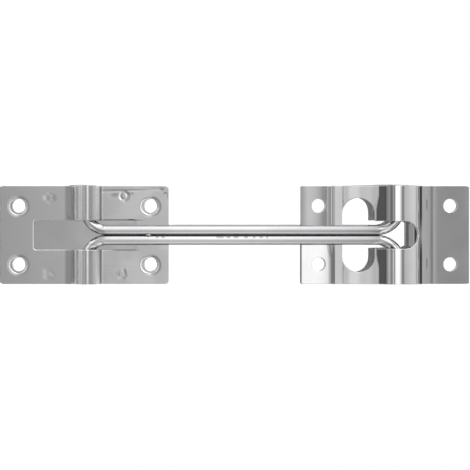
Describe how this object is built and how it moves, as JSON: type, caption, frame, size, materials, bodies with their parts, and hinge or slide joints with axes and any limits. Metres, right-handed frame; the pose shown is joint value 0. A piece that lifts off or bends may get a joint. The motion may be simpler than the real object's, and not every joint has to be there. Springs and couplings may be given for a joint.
{
  "type": "door retainer catch",
  "caption": "T-headed twin-rod arm pivoted in a hook plate's barrel and caught in a keeper plate's keyhole hump, to hold a door open against a wall.",
  "frame": {"origin": "under the middle of the whole catch, on the plane of the plates' backs", "axes": "+X along the arm from the hook plate to the keeper, +Y across the plates, +Z out of the plates' faces"},
  "size_m": [0.2124, 0.0444, 0.0119],
  "materials": {
    "hook_steel": "polished stainless",
    "back_steel": "rolled stainless",
    "rod_steel": "bright drawn rod",
    "weld_steel": "polished weld",
    "keeper_steel": "bright spring sheet"
  },
  "bodies": {
    "hook": {"hook_front_plate": "hook_steel", "hook_back_plate": "back_steel"},
    "arm": {"arm_rod_upper": "rod_steel", "arm_rod_lower": "rod_steel", "arm_welds": "weld_steel"},
    "keeper": {"keeper_plate": "keeper_steel"}
  },
  "joints": [
    {"name": "arm_pivot", "type": "hinge", "parent": "hook", "child": "arm", "pos_m": [-0.0676, 0, 0.0047], "axis": [0, -1, 0], "range_deg": [0, 180]},
    {"name": "keeper_swing", "type": "hinge", "parent": "arm", "child": "keeper", "pos_m": [0.0743, 0, 0.0047], "axis": [0, -1, 0], "range_deg": [0, 120]}
  ]
}
